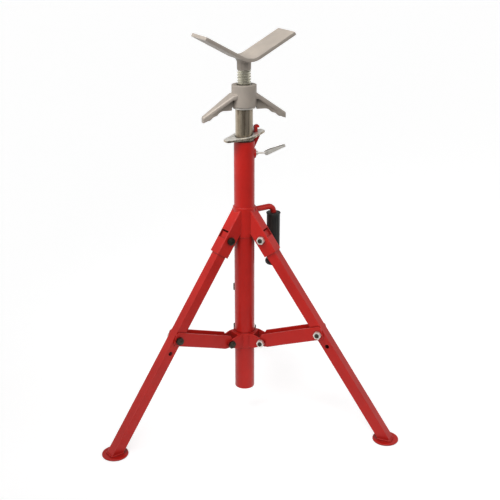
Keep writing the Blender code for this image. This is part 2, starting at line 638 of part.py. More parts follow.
def add_lock(axis):
    """The screw that clamps the inner tube, in a boss on the column, and its swinging lever."""
    plane = empty("lock_axis", axis, (0, 0, LOCK_Z), (0, 0, LOCK_TURN))
    boss_end = COLUMN_R + LOCK_BOSS_OUT
    boss = mesh_object("lock_boss", along_x(tube(LOCK_BOSS_R, HOLE_R, COLUMN_R / 2, boss_end, 28)),
                       plane, RED_PAINT)
    cut(boss, rod(COLUMN_R + GAP, -COLUMN_R, COLUMN_R, ROUND))
    neck_end = LOCK_PIN_AT - LOCK_EYE_R / 2
    stud = turned([(0, LOCK_START), (BOLT_R - COLUMN_WALL / 4, LOCK_START),
                   (BOLT_R, LOCK_START + COLUMN_WALL / 4), (BOLT_R, LOCK_COLLAR_START),
                   (LOCK_COLLAR_R, LOCK_COLLAR_START), (LOCK_COLLAR_R, LOCK_NECK_START),
                   (LOCK_NECK_R, LOCK_NECK_START), (LOCK_NECK_R, neck_end), (0, neck_end)], SMALL_ROUND)
    screw = mesh_object("lock_screw", along_x(stud), plane, BRIGHT_ZINC)
    eye_half = LOCK_EYE_WIDTH / 2
    join(screw, placed(along_y(rod(LOCK_EYE_R, -eye_half, eye_half)), LOCK_PIN_AT, 0, 0))
    cut(screw, placed(along_y(rod(LOCK_PIN_R + GAP, -LOCK_EYE_WIDTH, LOCK_EYE_WIDTH, 12)), LOCK_PIN_AT, 0, 0))
    pin = empty("lever_axis", plane, (LOCK_PIN_AT, 0, 0), (0, -LEVER_RISE, 0))
    add_lever(pin)


def add_lever(pin):
    """A channel of folded sheet, open on top, whose two cheeks stand beside the screw's eye."""
    inner = LOCK_EYE_WIDTH / 2 + LEVER_PLAY
    outer = inner + LEVER_SHEET
    bottom = -LEVER_FORK_R
    tip_top = bottom + LEVER_TIP_HEIGHT
    fork = arc((0, 0), LEVER_FORK_R, math.radians(90), math.radians(270), 10)
    outline = [*fork, (LEVER_LENGTH, bottom), (LEVER_LENGTH, tip_top), (LEVER_FORK_R * 2, LEVER_FORK_R)]
    lever = mesh_object("lock_lever", prism(outline, -outer, outer), pin, BRIGHT_ZINC)
    past = LEVER_LENGTH
    cut(lever, block((-past, -inner, bottom + LEVER_SHEET), (LEVER_LENGTH - LEVER_SHEET, inner, past)))
    cut(lever, block((-past, -inner, bottom - past), (LOCK_EYE_R * 2, inner, past)))
    cut(lever, along_y(rod(LOCK_PIN_R + GAP, -past, past, 12)))
    head = LOCK_PIN_R * 1.7
    seat = outer + GAP
    pin_shape = turned([(0, seat + LOCK_PIN_R), (head, seat + LOCK_PIN_R), (head, seat), (LOCK_PIN_R, seat),
                        (LOCK_PIN_R, -seat - LOCK_PIN_R), (0, -seat - LOCK_PIN_R)], 16)
    mesh_object("lever_pin", along_y(pin_shape), pin, BRIGHT_ZINC)


def handle_path():
    """The rod's centre line in its (x, z) plane: out from the sleeve, round a bend and down."""
    start = SLEEVE_R + GAP
    centre = (HANDLE_REACH - HANDLE_BEND_R, HANDLE_Z - HANDLE_BEND_R)
    bend = arc(centre, HANDLE_BEND_R, math.radians(90), 0, 8)
    end = GRIP_TOP - GRIP_LENGTH + GRIP_END_WALL + GAP
    return [(start, HANDLE_Z), *bend, (HANDLE_REACH, end)]


def add_handle(axis):
    plane = empty("handle_plane", axis, rotation=(0, 0, HANDLE_TURN))
    path = handle_path()
    line = bpy.data.curves.new("handle_rod", "CURVE")
    line.dimensions = "3D"
    line.bevel_depth = HANDLE_ROD_R
    line.bevel_resolution = 3
    line.use_fill_caps = True
    spline = line.splines.new("POLY")
    spline.points.add(len(path) - 1)
    for point, (x, z) in zip(spline.points, path):
        point.co = (x, 0, z, 1)
    handle = bpy.data.objects.new("handle_rod", line)
    bpy.context.scene.collection.objects.link(handle)
    handle.parent = plane
    line.materials.append(RED_PAINT)
    top = GRIP_TOP
    bottom = top - GRIP_LENGTH
    half_bulb = GRIP_BULB / 2
    bulb_centre = (GRIP_BULB_R - half_bulb, bottom + half_bulb)
    bulb = arc(bulb_centre, half_bulb, math.radians(60), math.radians(-90), 6)
    bore = HANDLE_ROD_R + GAP
    profile = [(0, path[-1][1] - GAP), (bore, path[-1][1] - GAP), (bore, top), (GRIP_RIM_R, top),
               (GRIP_RIM_R, top - GRIP_RIM), (GRIP_R, top - GRIP_RIM * 1.5),
               (GRIP_R, bottom + GRIP_BULB), *bulb, (0, bottom)]
    mesh_object("handle_grip", placed(turned(profile, 28), HANDLE_REACH, 0, 0), plane, BLACK_RUBBER)


clear_scene()
RED_PAINT = material("red_paint", (0.58, 0.025, 0.022), 0.38, 0.0)
CAST_GREY = material("cast_grey", (0.36, 0.33, 0.30), 0.45, 0.6)
ZINC_STEEL = material("zinc_steel", (0.42, 0.37, 0.30), 0.30, 0.9)
YELLOW_ZINC = material("yellow_zinc", (0.60, 0.55, 0.38), 0.30, 0.9)
BRIGHT_ZINC = material("bright_zinc", (0.72, 0.70, 0.66), 0.30, 0.9)
BOLT_STEEL = material("bolt_steel", (0.055, 0.05, 0.042), 0.45, 0.7)
BLACK_RUBBER = material("black_rubber", (0.020, 0.021, 0.019), 0.70, 0.0)

AXIS = empty("stand_axis", location=(0, AXIS_Y, 0))
add_column(AXIS)
add_mast(AXIS)
add_jam_plate(AXIS)
add_lock(AXIS)
add_handle(AXIS)
COLLAR = add_collar(AXIS)
for leg_number, leg_turn in enumerate(LEG_TURNS, 1):
    leg_plane = empty(f"leg_plane_{leg_number}", AXIS, rotation=(0, 0, leg_turn))
    add_leg_bracket(leg_number, leg_plane)
    add_leg(leg_number, leg_plane)
    collar_plane = add_collar_ears(leg_number, COLLAR, leg_turn)
    add_brace(leg_number, collar_plane)
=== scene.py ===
import json
import math

import bmesh
import bpy
from mathutils import Matrix, Vector

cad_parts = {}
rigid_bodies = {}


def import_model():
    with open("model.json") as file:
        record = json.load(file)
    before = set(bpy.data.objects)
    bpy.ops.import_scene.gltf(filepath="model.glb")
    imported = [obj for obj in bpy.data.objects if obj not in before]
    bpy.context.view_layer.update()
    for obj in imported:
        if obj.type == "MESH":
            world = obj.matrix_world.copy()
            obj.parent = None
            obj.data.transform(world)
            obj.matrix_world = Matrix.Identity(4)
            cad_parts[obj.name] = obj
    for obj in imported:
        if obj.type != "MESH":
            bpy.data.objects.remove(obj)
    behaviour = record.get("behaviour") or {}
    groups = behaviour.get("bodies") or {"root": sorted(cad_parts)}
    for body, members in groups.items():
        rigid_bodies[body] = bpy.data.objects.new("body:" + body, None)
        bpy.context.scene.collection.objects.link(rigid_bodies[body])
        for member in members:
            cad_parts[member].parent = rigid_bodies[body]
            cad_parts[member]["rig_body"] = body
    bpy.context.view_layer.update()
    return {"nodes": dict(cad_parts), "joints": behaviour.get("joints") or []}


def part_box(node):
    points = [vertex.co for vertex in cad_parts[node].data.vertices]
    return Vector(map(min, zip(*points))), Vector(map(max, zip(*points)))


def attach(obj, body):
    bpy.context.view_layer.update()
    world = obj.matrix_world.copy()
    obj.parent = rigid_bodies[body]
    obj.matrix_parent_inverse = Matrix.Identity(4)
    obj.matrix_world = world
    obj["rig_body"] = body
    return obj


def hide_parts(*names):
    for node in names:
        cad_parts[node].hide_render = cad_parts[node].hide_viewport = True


# Looks of the folding pipe stand. Metres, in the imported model's own frame, +Z up.
for old in list(bpy.data.objects):
    bpy.data.objects.remove(old)
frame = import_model()

# Camera at the photograph's viewpoint, which is given from the column's axis.
CAMERA_FROM_AXIS = Vector((-0.18607, -2.00577, 1.19211))
CAMERA_YAW = math.radians(5.68)
CAMERA_PITCH = math.radians(20.74)
CAMERA_LENS = 64.66
CAMERA_SENSOR = 36

# Light. A soft light from the front, a weak one from the right, and a nearer one on the left of the head.
FRONT_TURN = math.radians(-4)
FRONT_RISE = math.radians(38)
FRONT_POWER = 1.4
FRONT_ANGLE = math.radians(50)
LEFT_TURN = math.radians(-60)
LEFT_RISE = math.radians(45)
LEFT_SIZE = 0.7
LEFT_POWER = 2.8
LEFT_SPREAD = math.radians(80)
RIGHT_TURN = math.radians(78)
RIGHT_RISE = math.radians(28)
RIGHT_POWER = 0.45
RIGHT_ANGLE = math.radians(40)
LAMP_AIM = 0.97
LAMP_DISTANCE = 0.9
AMBIENT = 0.56
# The room is pale, dimmer overhead, and darker on the side where the photographer stood.
ROOM_PALE = 0.62
ROOM_DARK = 0.22
ROOM_DARK_TURN = math.radians(22)
ROOM_DARK_FROM = -0.15
ROOM_DARK_FULL = 0.75
ROOM_TOP = 0.5
ROOM_TOP_FROM = 0.1
ROOM_TOP_FULL = 0.8
FLOOR_SIZE = 40
FLOOR_DROP = 0.0004
FLOOR_TONE = 0.60
FLOOR_GLOW = 0.682
FLOOR_NEAR = 0.25
FLOOR_FAR = 0.90

# Rounding of edges, and how meshes from the frame are cleaned.
MERGE = 1e-5
NEEDLE = 2e-6
ROUND_STEPS = 8
PATH_STEPS = 96
SADDLE_STEPS = 64
FLAT = math.radians(1)
SHARP = math.radians(32)
SMOOTH = math.radians(40)
STRAIGHT = 0.99
NEAR = 5e-5
UPRIGHT = 0.5
SHEET_EDGE = 0.0006
COLUMN_EDGE = 0.0008
COLLAR_EDGE = 0.0009
LEG_EDGE = 0.0005
HEAD_EDGE = 0.0012
INNER_EDGE = 0.0006
WASHER_EDGE = 0.0007
HOOK_EDGE = 0.0016
BOSS_EDGE = 0.0014
LOCK_EDGE = 0.0005
EDGE_SEGMENTS = 2
FOLD_SEGMENTS = 4
FOLD_R = 0.0023
LEG_CORNER_R = 0.0021

# Lift screw, bolts and nuts.
SCREW_PITCH = 0.006
SCREW_DEPTH = 0.0019
SCREW_PLAY = 0.0003
SCREW_CHAMFER = 0.002
STEM_BORE_R = 0.0093
STEM_BORE_DEPTH = 0.0453
BOLT_R = 0.005
BOLT_PITCH = 0.0015
BOLT_DEPTH = 0.0007
BOLT_FLATS = 0.017
BOLT_FACE = 0.96
BOLT_CHAMFER = math.radians(30)
NUT_BORE_R = 0.0053
NUT_HEIGHT = 0.008
BOLT_THREAD = 0.0055
BOLT_SIDES = 36
SCREW_SIDES = 64
# One turn of a thread: how far along the pitch, and how deep.
THREAD_PROFILE = ((0, 0), (0.34, 0), (0.5, 1), (0.84, 1))

# Wing nut, a casting. Heights are from the underside of its hub.
NUT_BORE_PLAY = 0.0006
NUT_TURN = math.radians(12.5)
HUB_R = 0.0284
HUB_SIDES = 96
ARM_ROOT_HEIGHT = 0.0305
ARM_REACH = 0.0985
ARM_DROP = 0.049
ARM_UNDER = 0.008
ARM_TIP = 0.0175
ARM_ROOT_HALF = 0.0200
ARM_TIP_HALF = 0.0080
ARM_KNUCKLE = 0.020
ARM_FLANGE = 0.013
ARM_WEB_HALF = 0.0045
ARM_WEB_FROM = 0.050
ARM_WEB_TO = 0.080
ARM_SQUARE = 4.5
ARM_SIDES = 40
ARM_STATIONS = 60
ARM_SCALLOPS = 3
ARM_SCALLOP_DEPTH = 0.0026
ARM_ROOT_OUT = 0.001
ARM_LIFT = 0.0008
ARM_TIP_ROUND = 0.005
ARM_TIP_FLAT = 0.9
ARM_TIP_CUT = 0.007
ARM_TIP_RISE = 0.22
CAST_VOXEL = 0.0009
CAST_SMOOTHING = 6
CAST_KEEP = 0.4

# V head's neck, which flares into the weld under the plate.
HEAD_TURN = math.radians(20)
HEAD_SLOPE = math.radians(28.5)
HEAD_BEND_R = 0.048
HEAD_GAP = 0.0003
NECK_FLARE = 0.0042
NECK_FLARE_HEIGHT = 0.0075
NECK_FLARE_POWER = 2.2
NECK_STEPS = 6
NECK_TAPER = 0.985
NECK_CHAMFER = 0.001
NECK_STEM_R = 0.009
NECK_SIDES = 72

# Welds.
WELD_STEP = 0.0009
WELD_WAVE = 0.0032
WELD_RIPPLE = 0.16
WELD_SIDES = 10
FOOT_WELD = 0.0026
SEAM_WELD = 0.0016
RIM_WELD = 0.0013
BOSS_WELD = 0.0016
HOOK_WELD_UP = 0.001
HOOK_WELD_DOWN = 0.003
LOCK_BOSS_R = 0.0105

# Jam plate and lock lever.
PLATE_EDGE = 0.0005
PLATE_BORE_PLAY = 0.002
LEVER_EDGE = 0.0004
LEVER_SHEET = 0.0015

# Feet and handle.
FOOT_EDGE_R = 0.0022
FOOT_DISH = 0.0007
FOOT_DISH_FLAT = 0.78
FOOT_DISH_END = 0.86
FOOT_SIDES = 64
HANDLE_TURN = math.radians(28)
HANDLE_REACH = 0.084
HANDLE_BEND_R = 0.016
HANDLE_ROD_R = 0.007
HANDLE_GAP = 0.0003
HANDLE_STEPS = 12
HANDLE_SIDES = 28
GRIP_R = 0.016
GRIP_RIM_R = 0.0175
GRIP_RIM = 0.004
GRIP_BULB_R = 0.0195
GRIP_BULB = 0.016
GRIP_BULB_FROM = math.radians(60)
GRIP_BORE_R = 0.0073
GRIP_FLUTES = 16
GRIP_FLUTE_DEPTH = 0.0007
GRIP_FLUTE_TOP = 0.0088
GRIP_FLUTE_LOW = 0.020
GRIP_FLUTE_SIDES = 8
GRIP_NECK = 0.0064
GRIP_ROWS = 26
GRIP_BULB_STEPS = 10
GRIP_END_WALL = 0.012

JOINTS = {joint["name"]: joint for joint in frame["joints"]}
AXIS = Vector((*JOINTS["wing_nut_turn"]["pos_m"][:2], 0))
LEGS = (1, 2, 3)


# Places read from the frame.
def radius_of(name):
    low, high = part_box(name)
    return (high.x - low.x) / 2


def span(name, direction):
    """How far a node reaches along a direction, as (least, most) from the column's axis."""
    reach = [direction.dot(vertex.co - AXIS) for vertex in frame["nodes"][name].data.vertices]
    return min(reach), max(reach)


def turn_of(point):
    return math.atan2(point[1] - AXIS.y, point[0] - AXIS.x)


def plane(turn, height=0):
    """The frame of an upright plane through the column's axis: X out, Y sideways, Z up."""
    return Matrix.Translation(AXIS + Vector((0, 0, height))) @ Matrix.Rotation(turn, 4, "Z")


def leg_turn(number):
    return turn_of(JOINTS[f"leg_{number}_fold"]["pos_m"])


def in_plane(turn, point):
    local = plane(turn).inverted() @ Vector(point)
    return local.x, local.z


def foot_top(number):
    low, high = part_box(f"foot_pad_{number}")
    return Vector(((low.x + high.x) / 2, (low.y + high.y) / 2, high.z))


def leg_direction(number):
    return (foot_top(number) - Vector(JOINTS[f"leg_{number}_fold"]["pos_m"])).normalized()


def brace_far_end(number):
    turn = leg_turn(number)
    side = plane(turn).to_3x3() @ Vector((0, 1, 0))
    low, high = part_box(f"brace_bolt_{number}")
    middle = (low + high) / 2
    return middle - side * side.dot(middle - AXIS)


# Procedural materials.
def node(tree, kind, inputs=None, **settings):
    made = tree.nodes.new(kind)
    for key, value in settings.items():
        setattr(made, key, value)
    for key, value in (inputs or {}).items():
        if isinstance(value, bpy.types.NodeSocket):
            tree.links.new(value, made.inputs[key])
        else:
            made.inputs[key].default_value = value
    return made


def object_coordinates(tree, stretch=(1, 1, 1)):
    place = node(tree, "ShaderNodeTexCoord")
    return node(tree, "ShaderNodeMapping", {"Vector": place.outputs["Object"], "Scale": stretch}).outputs[0]


def noise(tree, where, scale, detail=3, roughness=0.55):
    values = {"Vector": where, "Scale": scale, "Detail": detail, "Roughness": roughness}
    return node(tree, "ShaderNodeTexNoise", values).outputs["Fac"]


def spread(tree, value, low, high, to_low=0, to_high=1):
    """Maps a value from one range to another, held at both ends."""
    values = {"Value": value, "From Min": low, "From Max": high, "To Min": to_low, "To Max": to_high}
    return node(tree, "ShaderNodeMapRange", values).outputs["Result"]


def blend(tree, share, first, second):
    made = node(tree, "ShaderNodeMix", data_type="RGBA")
    for socket, value in ((made.inputs[0], share), (made.inputs[6], first), (made.inputs[7], second)):
        if isinstance(value, bpy.types.NodeSocket):
            tree.links.new(value, socket)
        else:
            socket.default_value = (*value, 1) if isinstance(value, tuple) else value
    return made.outputs[2]


def product(tree, first, second):
    return node(tree, "ShaderNodeMath", {0: first, 1: second}, operation="MULTIPLY").outputs[0]


def edge_share(tree, radius, start=0.985, full=0.86):
    """Rises from 0 on flat faces to 1 on edges sharper than the radius."""
    rounded = node(tree, "ShaderNodeBevel", {"Radius": radius}, samples=6)
    flat = node(tree, "ShaderNodeNewGeometry")
    turn = node(tree, "ShaderNodeVectorMath", {0: rounded.outputs[0], 1: flat.outputs["Normal"]},
                operation="DOT_PRODUCT")
    return spread(tree, turn.outputs["Value"], start, full)


def bump(tree, height, distance, strength, after=None):
    values = {"Height": height, "Distance": distance, "Strength": strength}
    if after is not None:
        values["Normal"] = after
    return node(tree, "ShaderNodeBump", values).outputs["Normal"]


def start_material(name):
    made = bpy.data.materials.new(name)
    made.use_nodes = True
    return made, made.node_tree, made.node_tree.nodes["Principled BSDF"]


def set_inputs(tree, shader, values):
    for key, value in values.items():
        if isinstance(value, bpy.types.NodeSocket):
            tree.links.new(value, shader.inputs[key])
        else:
            shader.inputs[key].default_value = value


def painted_shade_share(tree, distance, dark=0.35, full=0.85):
    """Rises from 0 deep in corners and hollows to 1 on open faces. It masks painted shade: a darker colour
    where less light reaches.
    """
    open_share = node(tree, "ShaderNodeAmbientOcclusion", {"Distance": distance}, samples=8).outputs["AO"]
    return spread(tree, open_share, dark, full)


def red_paint():
    """Gloss enamel on steel: uneven, with orange peel, a painted highlight paler along the edges, and
    painted shade darker in corners.
    """
    made, tree, shader = start_material("red_paint_finish")
    where = object_coordinates(tree)
    broad = noise(tree, where, 14, 4)
    fine = noise(tree, where, 160, 5, 0.6)
    colour = blend(tree, spread(tree, broad, 0.35, 0.65), (0.53, 0.012, 0.0075), (0.61, 0.016, 0.010))
    colour = blend(tree, spread(tree, fine, 0.58, 0.78, 0, 0.35), colour, (0.42, 0.010, 0.008))
    # Painted highlight: a paler red on the rounded edges, standing in for the light they catch.
    painted_edge_highlight = product(tree, edge_share(tree, 0.0022), spread(tree, fine, 0.3, 0.6, 0.25, 0.65))
    colour = blend(tree, painted_edge_highlight, colour, (0.70, 0.050, 0.038))
    # Painted shade: a dark red in corners and hollows, where less light reaches.
    colour = blend(tree, painted_shade_share(tree, 0.03), (0.22, 0.014, 0.012), colour)
    rough = spread(tree, noise(tree, where, 55, 4), 0.3, 0.7, 0.28, 0.40)
    peel = bump(tree, noise(tree, where, 420, 2), 0.00025, 0.22)
    peel = bump(tree, broad, 0.0008, 0.10, peel)
    set_inputs(tree, shader, {"Base Color": colour, "Roughness": rough, "Normal": peel,
                              "Specular IOR Level": 0.38})
    return made


def cast_grey():
    """Satin grey paint over a casting and a rolled plate: grainy, warm in patches, paler at the edges, with
    painted shade in corners and hollows.
    """
    made, tree, shader = start_material("cast_grey_finish")
    where = object_coordinates(tree)
    patches = noise(tree, where, 28, 5, 0.6)
    grain = noise(tree, where, 520, 4, 0.65)
    colour = blend(tree, spread(tree, patches, 0.35, 0.68), (0.40, 0.350, 0.302), (0.47, 0.410, 0.350))
    colour = blend(tree, spread(tree, grain, 0.55, 0.8, 0, 0.4), colour, (0.30, 0.262, 0.225))
    paler_edges = product(tree, edge_share(tree, 0.002), spread(tree, grain, 0.3, 0.6, 0.25, 0.7))
    colour = blend(tree, paler_edges, colour, (0.56, 0.53, 0.50))
    # Painted shade: a near-black grey in corners and hollows, such as under the wing nut's arms.
    colour = blend(tree, painted_shade_share(tree, 0.016, 0.25, 0.82), (0.10, 0.092, 0.082), colour)
    rough = spread(tree, patches, 0.3, 0.7, 0.46, 0.58)
    rise = bump(tree, grain, 0.0005, 0.35)
    rise = bump(tree, noise(tree, where, 120, 3), 0.0006, 0.16, rise)
    set_inputs(tree, shader, {"Base Color": colour, "Roughness": rough, "Normal": rise, "Metallic": 0.25})
    return made


def plated(name, tones, rough, grain_scale, stretch=(1, 1, 1), paler_edges=(0.80, 0.78, 0.73), metal=0.92):
    """Plated steel: tones from dark to light, drawn out along the stretch, with paler edges and painted
    shade in hollows.
    """
    made, tree, shader = start_material(name)
    drawn = object_coordinates(tree, stretch)
    where = object_coordinates(tree)
    streak = noise(tree, drawn, grain_scale, 5, 0.6)
    cloud = noise(tree, where, 36, 4, 0.6)
    colour = blend(tree, spread(tree, streak, 0.38, 0.60), tones[0], tones[1])
    colour = blend(tree, spread(tree, cloud, 0.42, 0.72, 0, 0.55), colour, tones[2])
    edge = product(tree, edge_share(tree, 0.0012), spread(tree, cloud, 0.3, 0.6, 0.3, 0.75))
    colour = blend(tree, edge, colour, paler_edges)
    # Painted shade: the darkest tone, darker still, in corners and hollows.
    colour = blend(tree, painted_shade_share(tree, 0.012), tuple(0.4 * part for part in tones[0]), colour)
    roughness = spread(tree, streak, 0.3, 0.7, rough[0], rough[1])
    rise = bump(tree, streak, 0.0001, 0.25)
    set_inputs(tree, shader, {"Base Color": colour, "Roughness": roughness, "Normal": rise,
                              "Metallic": metal})
    return made


def black_rubber():
    """Moulded grip: dark, finely pebbled, a little paler along the edges."""
    made, tree, shader = start_material("black_rubber_finish")
    where = object_coordinates(tree)
    cloud = noise(tree, where, 45, 4)
    pebble = node(tree, "ShaderNodeTexVoronoi", {"Vector": where, "Scale": 900}).outputs["Distance"]
    colour = blend(tree, spread(tree, cloud, 0.35, 0.68), (0.007, 0.0075, 0.0065), (0.015, 0.016, 0.014))
    colour = blend(tree, edge_share(tree, 0.0015), colour, (0.034, 0.034, 0.031))
    rough = spread(tree, cloud, 0.3, 0.7, 0.46, 0.62)
    rise = bump(tree, pebble, 0.0003, 0.3)
    set_inputs(tree, shader, {"Base Color": colour, "Roughness": rough, "Normal": rise})
    return made


FINISHES = {
    "red_paint": red_paint(),
    "cast_grey": cast_grey(),
    "zinc_steel": plated("zinc_steel_finish",
        [(0.20, 0.155, 0.105), (0.66, 0.57, 0.45), (0.47, 0.40, 0.30)],
        (0.20, 0.36), 90, (1, 1, 0.04)),
    "yellow_zinc": plated("yellow_zinc_finish",
        [(0.66, 0.63, 0.50), (0.90, 0.87, 0.73), (0.80, 0.76, 0.61)],
        (0.20, 0.34), 60, metal=0.8),
    "bright_zinc": plated("bright_zinc_finish",
        [(0.76, 0.72, 0.65), (0.94, 0.91, 0.84), (0.86, 0.81, 0.73)],
        (0.24, 0.40), 70, metal=0.62),
    "bolt_steel": plated("bolt_steel_finish",
        [(0.036, 0.032, 0.024), (0.075, 0.068, 0.052), (0.06, 0.05, 0.036)],
        (0.36, 0.52), 120, paler_edges=(0.16, 0.145, 0.12)),
    "black_rubber": black_rubber(),
}


# Mesh building.
def at(value, turn):
    return value(turn) if callable(value) else value


def arc(start, end, steps):
    """Even turns from start to end."""
    return [start + (end - start) * i / steps for i in range(steps + 1)]


def bridge(shape, first, second):
    sides = max(len(first), len(second))
    for i in range(sides):
        j = (i + 1) % sides
        corners = [ring[k % len(ring)] for ring, k in ((first, i), (first, j), (second, j), (second, i))]
        shape.faces.new(list(dict.fromkeys(corners)))


def lathe(rows, sides):
    """Skins rows of (radius, height) round Z, each a number or a function of the turn. The rows run from
    axis to axis, or close on themselves where they never meet it."""
    shape = bmesh.new()
    turns = [2 * math.pi * i / sides for i in range(sides)]
    rings = []
    for radius, height in rows:
        if not callable(radius) and radius < MERGE:
            rings.append([shape.verts.new((0, 0, height))])
            continue
        sizes = [(at(radius, t), at(height, t), t) for t in turns]
        rings.append([shape.verts.new((r * math.cos(t), r * math.sin(t), z)) for r, z, t in sizes])
    for first, second in zip(rings, rings[1:]):
        bridge(shape, first, second)
    if len(rings[0]) > 1:
        bridge(shape, rings[-1], rings[0])
    return shape


def sweep(path, radii, sides):
    """A round bar along a path of points, with a radius for each point and closed ends."""
    shape = bmesh.new()
    rings = []
    across = None
    for i, point in enumerate(path):
        ahead = (path[min(i + 1, len(path) - 1)] - path[max(i - 1, 0)]).normalized()
        if across is None:
            across = ahead.orthogonal().normalized()
        across = (across - ahead * across.dot(ahead)).normalized()
        third = ahead.cross(across)
        turns = [2 * math.pi * j / sides for j in range(sides)]
        rings.append([shape.verts.new(point + (across * math.cos(t) + third * math.sin(t)) * radii[i])
                      for t in turns])
    for first, second in zip(rings, rings[1:]):
        bridge(shape, first, second)
    shape.faces.new(rings[0][::-1])
    shape.faces.new(rings[-1])
    return shape


def moved(shape, matrix):
    bmesh.ops.transform(shape, matrix=matrix, verts=shape.verts)
    return shape


def add_to(shape, other, slot=0):
    """Puts a second closed shape into the first, with its own material slot."""
    made = bpy.data.meshes.new("part")
    for face in other.faces:
        face.material_index = slot
    other.to_mesh(made)
    other.free()
    shape.from_mesh(made)
    bpy.data.meshes.remove(made)
    return shape


def piece(name, shape, body, finish, nodes=(), second=None):
    """Makes a shown piece of a bmesh that is already in place: its finish, its body, what it stands for."""
    bmesh.ops.recalc_face_normals(shape, faces=shape.faces)
    if shape.calc_volume(signed=True) < 0:
        bmesh.ops.reverse_faces(shape, faces=shape.faces)
    mesh = bpy.data.meshes.new(name)
    shape.to_mesh(mesh)
    shape.free()
    mesh.materials.append(FINISHES[finish])
    if second:
        mesh.materials.append(FINISHES[second])
    mesh.shade_smooth()
    mesh.set_sharp_from_angle(angle=SMOOTH)
    made = bpy.data.objects.new(name, mesh)
    bpy.context.scene.collection.objects.link(made)
    made.modifiers.new("weighted_normals", "WEIGHTED_NORMAL").keep_sharp = True
    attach(made, body)
    if nodes:
        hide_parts(*nodes)
    return made


def body_of(name):
    return frame["nodes"][name]["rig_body"]


def copied(name):
    """A CAD node's faces as a clean bmesh, with its flat faces whole again."""
    source = frame["nodes"][name].data
    shape = bmesh.new()
    points = [shape.verts.new(vertex.co) for vertex in source.vertices]
    for polygon in source.polygons:
        shape.faces.new([points[i] for i in polygon.vertices])
    bmesh.ops.remove_doubles(shape, verts=shape.verts, dist=MERGE)
    bmesh.ops.dissolve_limit(shape, angle_limit=FLAT, verts=shape.verts, edges=shape.edges)
    bmesh.ops.connect_verts_concave(shape, faces=shape.faces)
    return shape


def outer_edges(shape):
    return [edge for edge in shape.edges if edge.is_convex and edge.calc_face_angle(0) > SHARP]


def round_edges(shape, edges, radius, segments):
    if edges:
        bmesh.ops.bevel(shape, geom=edges, offset=radius, offset_type="OFFSET", segments=segments,
                        profile=0.5, affect="EDGES", clamp_overlap=True)


def refined(name, finish, edge=SHEET_EDGE, folds=None, fold_radius=FOLD_R):
    """Stands for a CAD node with its own faces and rounded edges. folds picks the edges of a wider bend."""
    shape = copied(name)
    if folds:
        round_edges(shape, [e for e in outer_edges(shape) if folds(e)], fold_radius, FOLD_SEGMENTS)
    round_edges(shape, outer_edges(shape), edge, EDGE_SEGMENTS)
    bmesh.ops.dissolve_degenerate(shape, dist=NEEDLE, edges=shape.edges)
    bmesh.ops.remove_doubles(shape, verts=shape.verts, dist=NEEDLE)
    return piece(f"fine_{name}", shape, body_of(name), finish, [name])


def along(edge, direction):
    first, second = (vertex.co for vertex in edge.verts)
    return abs((second - first).normalized().dot(direction)) > STRAIGHT


def weld(name, body, path, radius, finish="red_paint"):
    """A rippled bead along a path, resampled to even steps."""
    lengths = [0]
    for first, second in zip(path, path[1:]):
        lengths.append(lengths[-1] + (second - first).length)
    count = max(2, int(lengths[-1] / WELD_STEP))
    points = []
    radii = []
    index = 0
    for i in range(count + 1):
        reach = lengths[-1] * i / count
        while index < len(path) - 2 and lengths[index + 1] < reach:
            index += 1
        share = (reach - lengths[index]) / max(lengths[index + 1] - lengths[index], MERGE)
        points.append(path[index].lerp(path[index + 1], min(1, share)))
        ripple = abs(math.sin(math.pi * reach / WELD_WAVE))
        ends = min(1, (min(reach, lengths[-1] - reach) + radius / 3) / radius)
        radii.append(radius * (1 - WELD_RIPPLE * (1 - ripple)) * math.sqrt(ends))
    return piece(name, sweep(points, radii, WELD_SIDES), body, finish)


# Column, sleeves and their welds.
def circle(radius, height):
    turns = arc(0, 2 * math.pi, PATH_STEPS)
    return [AXIS + Vector((radius * math.cos(t), radius * math.sin(t), height)) for t in turns]


def saddle(turn, height, radius, drum):
    """Where a round boss of this radius, pointing out at this turn, meets a drum round the axis."""
    into = plane(turn, height)
    points = []
    for t in arc(0, 2 * math.pi, SADDLE_STEPS):
        y = radius * math.cos(t)
        points.append(into @ Vector((math.sqrt(drum ** 2 - y ** 2), y, radius * math.sin(t))))
    return points


def upright(turn, side, drum, low, high):
    """An upright line where a plate at this distance sideways meets a drum round the axis."""
    into = plane(turn)
    x = math.sqrt(drum ** 2 - side ** 2)
    return [into @ Vector((x, side, low)), into @ Vector((x, side, high))]


def add_column():
    refined("main_column", "red_paint", COLUMN_EDGE)
    refined("hub_sleeve", "red_paint", COLUMN_EDGE)
    refined("collar_sleeve", "red_paint", COLLAR_EDGE)
    column_r = radius_of("main_column")
    sleeve_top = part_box("hub_sleeve")[1].z
    weld("sleeve_rim_weld", "column", circle(column_r + RIM_WELD / 3, sleeve_top), RIM_WELD)


